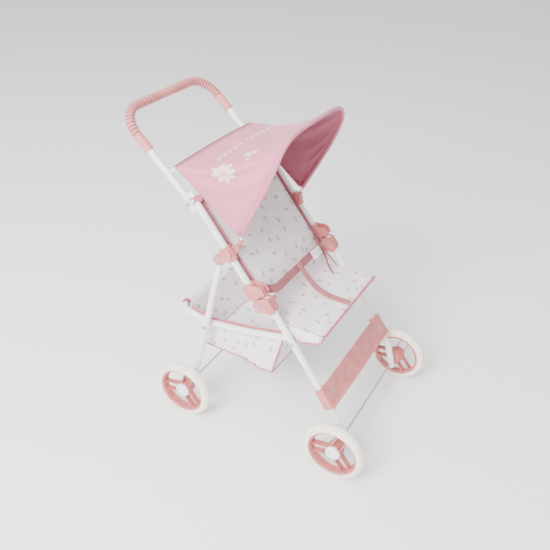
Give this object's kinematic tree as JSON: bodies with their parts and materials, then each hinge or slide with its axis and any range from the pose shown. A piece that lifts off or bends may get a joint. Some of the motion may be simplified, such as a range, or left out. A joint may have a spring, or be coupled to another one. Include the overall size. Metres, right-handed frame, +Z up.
{
  "type": "doll_stroller",
  "caption": "Folding doll stroller with a white tube frame, dusty pink fittings and canopy, printed sling seat, fabric basket and cream wheels.",
  "frame": {"origin": "centre of the bounding box at floor level, between the four wheels", "axes": "+Z up; -Y is the front, towards the footrest; +X is the stroller's own left"},
  "size_m": [0.2766, 0.4224, 0.4783],
  "materials": {
    "white_paint": "white powder coat",
    "pink_plastic": "dusty pink satin moulding",
    "pink_grip": "dusty pink soft grip",
    "cream_tyre": "cream foam tyre, fine grain",
    "cap_white": "white satin dome",
    "steel_wire": "bright zinc wire",
    "rivet_steel": "bright steel",
    "pink_cloth": "dusty pink woven cloth",
    "print_cloth": "white woven cloth with small sprigs",
    "pink_webbing": "dusty pink flat webbing",
    "buckle_white": "pale plastic"
  },
  "bodies": {
    "front_frame": {"front_leg_left": "white_paint", "front_leg_right": "white_paint", "footrest": "pink_plastic", "footrest_screw_left": "rivet_steel", "footrest_screw_right": "rivet_steel", "front_axle": "steel_wire", "seat_bow": "steel_wire", "knee_socket_left": "pink_plastic", "knee_socket_right": "pink_plastic", "knee_rivet_left": "rivet_steel", "knee_rivet_right": "rivet_steel", "brace_rivet_left": "rivet_steel", "brace_rivet_right": "rivet_steel", "seat_panel": "print_cloth", "lap_belt": "pink_webbing", "crotch_strap": "pink_webbing", "buckle": "buckle_white"},
    "back_frame": {"back_tube_left": "white_paint", "back_tube_right": "white_paint", "handle_tube": "white_paint", "handle_grip": "pink_grip", "lap_plate_left": "rivet_steel", "lap_plate_right": "rivet_steel", "lap_rivet_back_left": "rivet_steel", "lap_rivet_back_right": "rivet_steel", "lap_rivet_handle_left": "rivet_steel", "lap_rivet_handle_right": "rivet_steel", "hinge_bracket_left": "pink_plastic", "hinge_bracket_right": "pink_plastic", "hip_rivet_left": "rivet_steel", "hip_rivet_right": "rivet_steel", "canopy_bar": "steel_wire", "seat_back": "print_cloth", "canopy": "pink_cloth"},
    "canopy_hoop": {"canopy_hoop": "steel_wire", "hoop_socket_left": "pink_plastic", "hoop_socket_right": "pink_plastic"},
    "lock_left": {"lock_slider_left": "pink_plastic"},
    "lock_right": {"lock_slider_right": "pink_plastic"},
    "rear_frame": {"rear_leg_left": "white_paint", "rear_leg_right": "white_paint", "rear_axle": "steel_wire", "stay_rivet_left": "rivet_steel", "stay_rivet_right": "rivet_steel"},
    "basket_frame": {"basket_frame": "white_paint", "basket": "print_cloth"},
    "wheel_front_left": {"tyre_front_left": "cream_tyre", "rim_front_left": "pink_plastic", "hub_cap_front_left": "cap_white"},
    "wheel_front_right": {"tyre_front_right": "cream_tyre", "rim_front_right": "pink_plastic", "hub_cap_front_right": "cap_white"},
    "wheel_rear_left": {"tyre_rear_left": "cream_tyre", "rim_rear_left": "pink_plastic", "hub_cap_rear_left": "cap_white"},
    "wheel_rear_right": {"tyre_rear_right": "cream_tyre", "rim_rear_right": "pink_plastic", "hub_cap_rear_right": "cap_white"}
  },
  "joints": [
    {"name": "fold", "type": "hinge", "parent": "front_frame", "child": "back_frame", "pos_m": [0, -0.0217, 0.236], "axis": [-1, 0, 0], "range_deg": [0, 120]},
    {"name": "hip", "type": "hinge", "parent": "back_frame", "child": "rear_frame", "pos_m": [0, 0.0434, 0.2901], "axis": [1, 0, 0], "range_deg": [0, 73.8]},
    {"name": "brace", "type": "hinge", "parent": "front_frame", "child": "basket_frame", "pos_m": [0, -0.0748, 0.187], "axis": [-1, 0, 0], "range_deg": [0, 78.3], "deforming": ["basket"]},
    {"name": "canopy_tilt", "type": "hinge", "parent": "back_frame", "child": "canopy_hoop", "pos_m": [0, 0.0211, 0.3095], "axis": [-1, 0, 0], "range_deg": [0, 45], "deforming": ["canopy"]},
    {"name": "lock_left", "type": "slide", "parent": "back_frame", "child": "lock_left", "axis": [0, 0.6293, 0.7771], "range_m": [0, 0.018]},
    {"name": "lock_right", "type": "slide", "parent": "back_frame", "child": "lock_right", "axis": [0, 0.6293, 0.7771], "range_m": [0, 0.018]},
    {"name": "spin_front_left", "type": "hinge", "parent": "front_frame", "child": "wheel_front_left", "pos_m": [0, -0.1637, 0.0475], "axis": [1, 0, 0], "continuous": true},
    {"name": "spin_front_right", "type": "hinge", "parent": "front_frame", "child": "wheel_front_right", "pos_m": [0, -0.1637, 0.0475], "axis": [1, 0, 0], "continuous": true},
    {"name": "spin_rear_left", "type": "hinge", "parent": "rear_frame", "child": "wheel_rear_left", "pos_m": [0, 0.0958, 0.0475], "axis": [1, 0, 0], "continuous": true},
    {"name": "spin_rear_right", "type": "hinge", "parent": "rear_frame", "child": "wheel_rear_right", "pos_m": [0, 0.0958, 0.0475], "axis": [1, 0, 0], "continuous": true}
  ],
  "couplings": [
    {"joint": "hip", "follows": "fold", "ratio": 0.607},
    {"joint": "brace", "follows": "fold", "ratio": 0.644}
  ]
}
